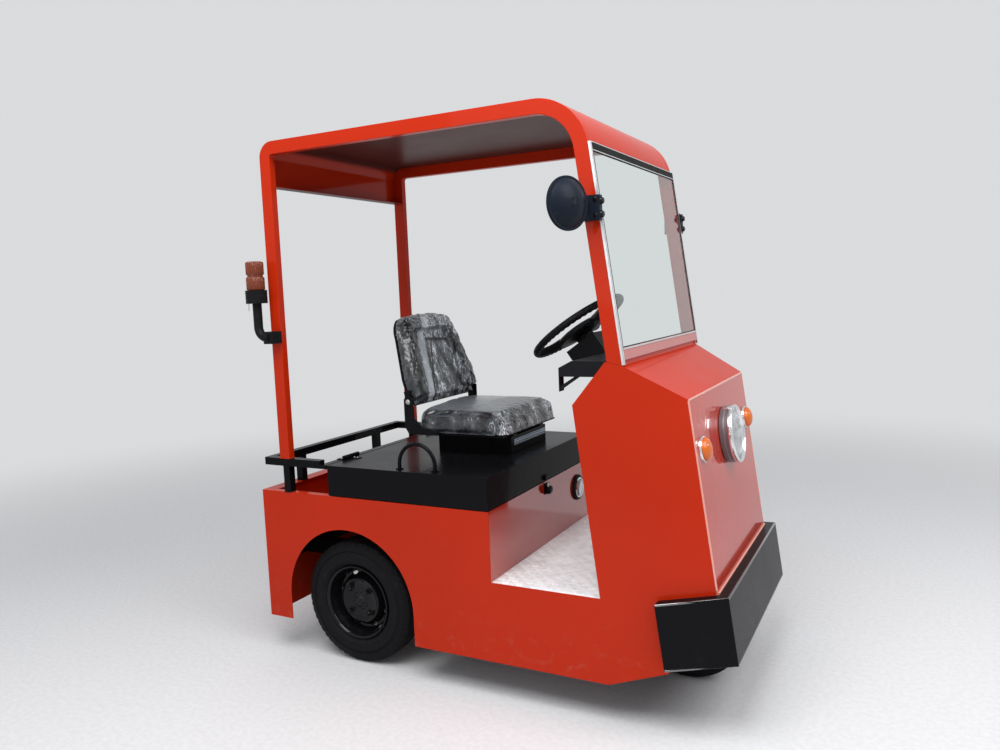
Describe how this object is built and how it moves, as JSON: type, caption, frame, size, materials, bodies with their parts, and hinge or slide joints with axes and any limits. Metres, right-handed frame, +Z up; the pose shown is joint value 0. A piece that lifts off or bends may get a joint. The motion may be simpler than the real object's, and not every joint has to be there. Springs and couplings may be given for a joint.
{
  "type": "baggage tug",
  "caption": "Electric tow tractor with an open cab, steered front wheel, lifting seat deck, wrap-round bumper, framed windscreen, roof on bent tube frames and a rear hitch with a drop pin.",
  "frame": {"origin": "bottom centre of the bounding box, on the floor under the middle of the vehicle", "axes": "+X forward, +Y to the driver's left, +Z up"},
  "size_m": [1.9374, 1.2744, 2],
  "materials": {
    "body_orange": "gloss",
    "black_paint": "gloss",
    "chassis_black": "satin",
    "chequer": "polished, raised pattern",
    "frame_salmon": "satin",
    "screen": "clear",
    "dash_black": "satin",
    "lamp_chrome": "polished",
    "lamp_glass": "ribbed",
    "amber": "clear amber",
    "mirror_black": "satin",
    "beacon_black": "satin",
    "steel": "bare",
    "wheel_rubber": "grained",
    "cast": "painted grey",
    "tyre_black": "worn",
    "disc_black": "satin",
    "vinyl": "black vinyl under clear film",
    "battery_grey": "plain"
  },
  "bodies": {
    "chassis": {"chassis_frame": "chassis_black", "side_panel_right": "body_orange", "side_panel_left": "body_orange", "rear_panel": "body_orange", "well_floor": "body_orange", "floor_plate": "chequer", "kick_panel": "body_orange", "bulkhead": "body_orange", "bonnet_top": "body_orange", "front_panel": "body_orange", "dash": "dash_black", "bumper": "black_paint", "roof_sheet": "body_orange", "roof_frame": "body_orange", "windscreen_frame": "frame_salmon", "windscreen_glass": "screen", "guard_rail": "black_paint", "headlight_shell": "lamp_chrome", "headlight_lens": "lamp_glass", "indicators": "amber", "mirrors": "mirror_black", "beacon_bracket": "beacon_black", "beacon_lens": "amber", "steering_column": "chassis_black", "steering_head": "cast", "pedals": "chassis_black", "charge_port": "steel", "lid_latch": "steel", "battery": "battery_grey", "rear_axle": "cast", "tow_hitch": "black_paint"},
    "steering_wheel": {"steering_wheel": "wheel_rubber"},
    "fork": {"front_fork": "cast"},
    "front_wheel": {"front_tyre": "tyre_black", "front_disc": "disc_black"},
    "rear_wheel_right": {"rear_tyre_right": "tyre_black", "rear_disc_right": "disc_black"},
    "rear_wheel_left": {"rear_tyre_left": "tyre_black", "rear_disc_left": "disc_black"},
    "lid": {"deck_lid": "black_paint", "lid_handles": "black_paint", "seat_plinth": "black_paint"},
    "seat": {"seat_pan": "chassis_black", "seat_cushion": "vinyl"},
    "backrest": {"seat_back": "vinyl", "back_frame": "chassis_black"},
    "drop_pin": {"hitch_pin": "steel"}
  },
  "joints": [
    {"name": "rear_right_spin", "type": "hinge", "parent": "chassis", "child": "rear_wheel_right", "pos_m": [-0.47466, -0.3475, 0.24], "axis": [0, 1, 0], "continuous": true},
    {"name": "rear_left_spin", "type": "hinge", "parent": "chassis", "child": "rear_wheel_left", "pos_m": [-0.47466, 0.3475, 0.24], "axis": [0, 1, 0], "continuous": true},
    {"name": "front_steer", "type": "hinge", "parent": "chassis", "child": "fork", "pos_m": [0.70634, 0, 0.438], "axis": [0, 0, 1], "range_deg": [-55, 55]},
    {"name": "front_spin", "type": "hinge", "parent": "fork", "child": "front_wheel", "pos_m": [0.70634, 0, 0.207], "axis": [0, 1, 0], "continuous": true},
    {"name": "steering_wheel_turn", "type": "hinge", "parent": "chassis", "child": "steering_wheel", "pos_m": [0.26934, 0.1, 1.262], "axis": [-0.5664, 0, 0.8241], "range_deg": [-330, 330]},
    {"name": "lid_hinge", "type": "hinge", "parent": "chassis", "child": "lid", "pos_m": [-0.54666, 0, 0.7895], "axis": [0, -1, 0], "range_deg": [0, 55]},
    {"name": "seat_slide", "type": "slide", "parent": "lid", "child": "seat", "axis": [1, 0, 0], "range_m": [-0.06, 0.06]},
    {"name": "backrest_fold", "type": "hinge", "parent": "seat", "child": "backrest", "pos_m": [-0.35866, 0.1, 0.988], "axis": [0, 1, 0], "range_deg": [0, 60]},
    {"name": "drop_pin_lift", "type": "slide", "parent": "chassis", "child": "drop_pin", "axis": [0, 0, 1], "range_m": [0, 0.12]}
  ],
  "couplings": [
    {"joint": "steering_wheel_turn", "follows": "front_steer", "ratio": 6}
  ]
}
